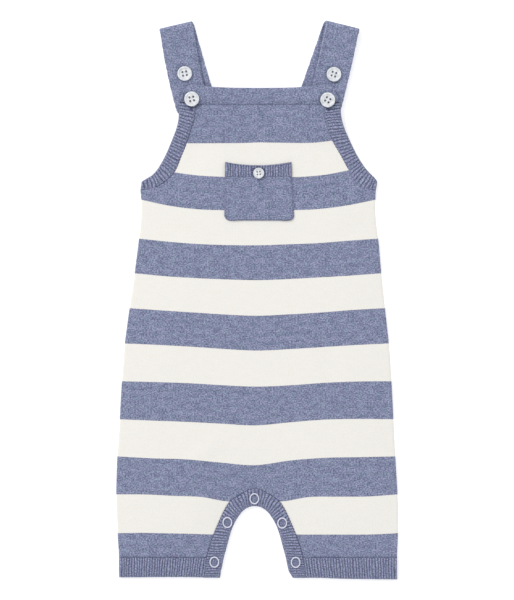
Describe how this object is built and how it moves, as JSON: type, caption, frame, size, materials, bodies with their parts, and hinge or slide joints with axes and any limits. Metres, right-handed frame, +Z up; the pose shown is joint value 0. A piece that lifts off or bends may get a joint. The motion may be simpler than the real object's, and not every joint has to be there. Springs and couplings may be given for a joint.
{
  "type": "baby romper",
  "caption": "Short-legged striped knitted romper for a baby with shoulder straps folded over a buttoned bib, a patch pocket, ribbed edges and a snap-fastened crotch, laid flat.",
  "frame": {"origin": "under the middle of the outline, on the surface the romper lies on", "axes": "+X to the picture's right (the wearer's left), +Y from the leg hems to the folded straps, +Z up out of the front"},
  "size_m": [0.234, 0.4638, 0.0111],
  "materials": {
    "striped_jersey": "matte",
    "blue_jersey": "matte",
    "blue_rib": "matte",
    "pearl_plastic": "glossy",
    "white_enamel": "satin"
  },
  "bodies": {
    "root": {"front_body": "striped_jersey", "back_body": "striped_jersey", "bib_hem": "blue_jersey", "armhole_band_front_left": "blue_rib", "armhole_band_front_right": "blue_rib", "armhole_band_back_left": "blue_rib", "armhole_band_back_right": "blue_rib", "crotch_band_front": "blue_rib", "crotch_band_back": "blue_rib", "cuff_front_left": "blue_rib", "cuff_front_right": "blue_rib", "cuff_back_left": "blue_rib", "cuff_back_right": "blue_rib", "strap_left": "blue_jersey", "strap_right": "blue_jersey", "pocket": "blue_jersey", "pocket_rib": "blue_rib", "button_upper_left": "pearl_plastic", "button_lower_left": "pearl_plastic", "button_upper_right": "pearl_plastic", "button_lower_right": "pearl_plastic", "button_pocket": "pearl_plastic", "snap_ring_1": "white_enamel", "snap_ring_2": "white_enamel", "snap_ring_3": "white_enamel", "snap_ring_4": "white_enamel", "snap_ring_5": "white_enamel"}
  },
  "joints": []
}
